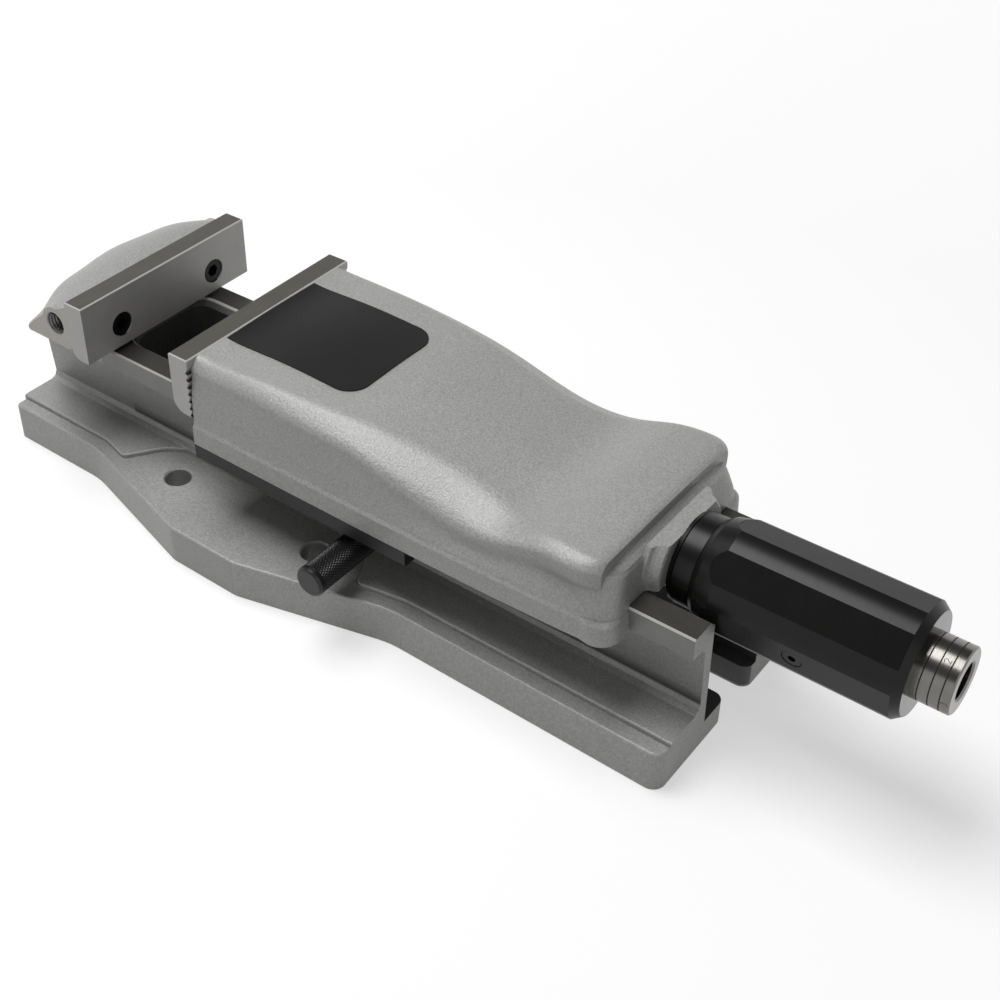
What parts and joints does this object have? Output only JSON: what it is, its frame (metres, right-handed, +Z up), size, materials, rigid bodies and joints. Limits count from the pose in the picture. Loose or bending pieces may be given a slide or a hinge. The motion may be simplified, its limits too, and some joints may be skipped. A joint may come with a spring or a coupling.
{
  "type": "machine vise",
  "caption": "Low machine vise with a cast bed and fixed jaw, a sculpted moving jaw on rails, ground jaw plates and a compact booster spindle with a locking pin.",
  "frame": {"origin": "on the table plane, on the middle plane, below the clamping face of the fixed jaw", "axes": "+X from the fixed jaw towards the spindle, +Z up from the table, +Y across the vise away from the locking pin"},
  "size_m": [0.489, 0.158, 0.1069],
  "materials": {
    "casting": "silver grey hammer paint",
    "ground_steel": "ground",
    "steel": "turned",
    "bright_steel": "turned and polished",
    "spring_steel": "rolled",
    "keeper_steel": "dark ground",
    "black_steel": "black oxide, satin",
    "black_screw": "black oxide",
    "black_knurl": "black oxide, knurled",
    "black_plate": "black, satin",
    "bearing_brass": "turned"
  },
  "bodies": {
    "base": {"base_body": "casting", "fixed_jaw_plate": "ground_steel", "fixed_jaw_screws": "black_screw", "spindle_nut": "steel"},
    "jaw": {"moving_jaw": "casting", "moving_jaw_plate": "ground_steel", "moving_jaw_screws": "black_screw", "keeper_near": "keeper_steel", "keeper_far": "keeper_steel", "keeper_screws": "black_screw", "info_plate": "black_plate", "thrust_washer": "steel"},
    "spindle": {"spindle_screw": "steel", "retaining_ring": "steel", "spindle_collar": "black_steel", "thrust_cage": "bearing_brass", "booster_housing": "black_steel", "oil_plug": "black_screw", "booster_piston": "steel", "disc_springs": "spring_steel", "clutch_ring": "steel"},
    "drive": {"drive_shaft": "black_screw"},
    "sleeve": {"setting_sleeve": "bright_steel"},
    "pin": {"locking_pin": "steel", "pin_knob": "black_knurl"}
  },
  "joints": [
    {"name": "jaw_slide", "type": "slide", "parent": "base", "child": "jaw", "axis": [1, 0, 0], "range_m": [-0.0607, 0.04]},
    {"name": "spindle_turn", "type": "hinge", "parent": "jaw", "child": "spindle", "pos_m": [0.3, 0, 0.0745], "axis": [1, 0, 0], "range_deg": [-4376, 2886]},
    {"name": "drive_turn", "type": "hinge", "parent": "spindle", "child": "drive", "pos_m": [0.39, 0, 0.0745], "axis": [1, 0, 0], "range_deg": [0, 540]},
    {"name": "sleeve_slide", "type": "slide", "parent": "spindle", "child": "sleeve", "axis": [1, 0, 0], "range_m": [-0.012, 0]},
    {"name": "pin_pull", "type": "slide", "parent": "base", "child": "pin", "axis": [0, -1, 0], "range_m": [0, 0.056]}
  ],
  "couplings": [
    {"joint": "spindle_turn", "follows": "jaw_slide", "rad_per_m": 1256.6}
  ]
}
